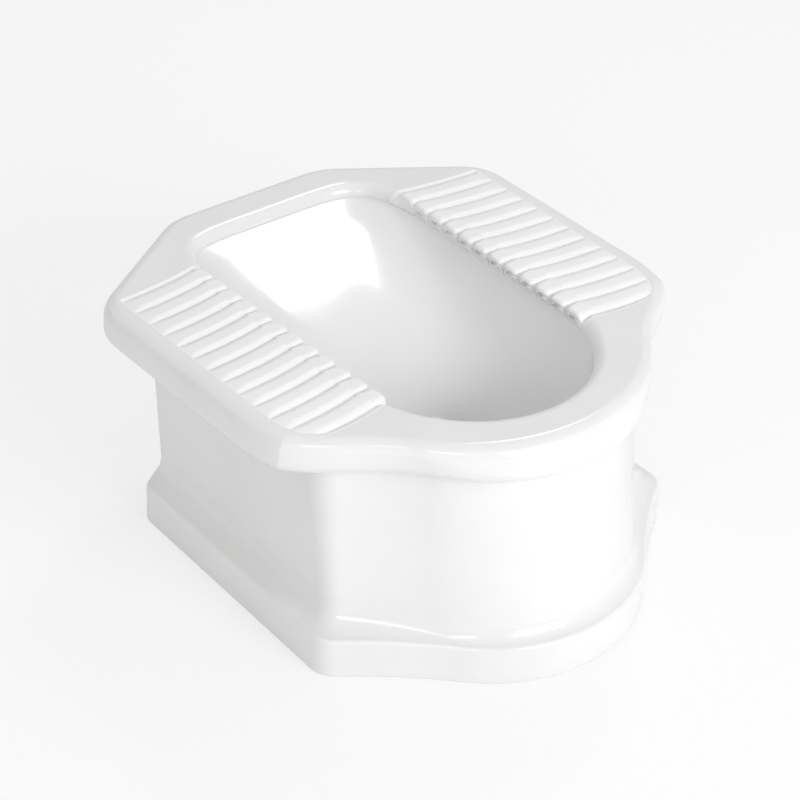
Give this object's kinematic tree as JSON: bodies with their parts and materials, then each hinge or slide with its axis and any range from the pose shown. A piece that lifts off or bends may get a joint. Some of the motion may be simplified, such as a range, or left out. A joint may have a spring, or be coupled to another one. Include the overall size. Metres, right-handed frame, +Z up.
{
  "type": "squat toilet",
  "caption": "Raised squat pan in glazed white china: open bowl between ribbed foot treads, integral trap with floor outlet, hollow pedestal on a stepped plinth.",
  "frame": {"origin": "on the floor, under the middle of the overall length and width", "axes": "+Z up, +Y towards the wall side, the nose at -Y, +X to the user's left when they face the nose"},
  "size_m": [0.4606, 0.528, 0.2432],
  "materials": {
    "china": "glossy white glaze over vitreous china",
    "seal_rubber": "soft matt black rubber"
  },
  "bodies": {
    "root": {"deck": "china", "deck_soffit": "china", "left_tread": "china", "right_tread": "china", "basin": "china", "throat": "china", "trap_dip": "china", "trap_upleg": "china", "trap_crown": "china", "outlet_leg": "china", "outlet_seal": "seal_rubber", "pedestal": "china", "cove": "china", "plinth": "china"}
  },
  "joints": []
}
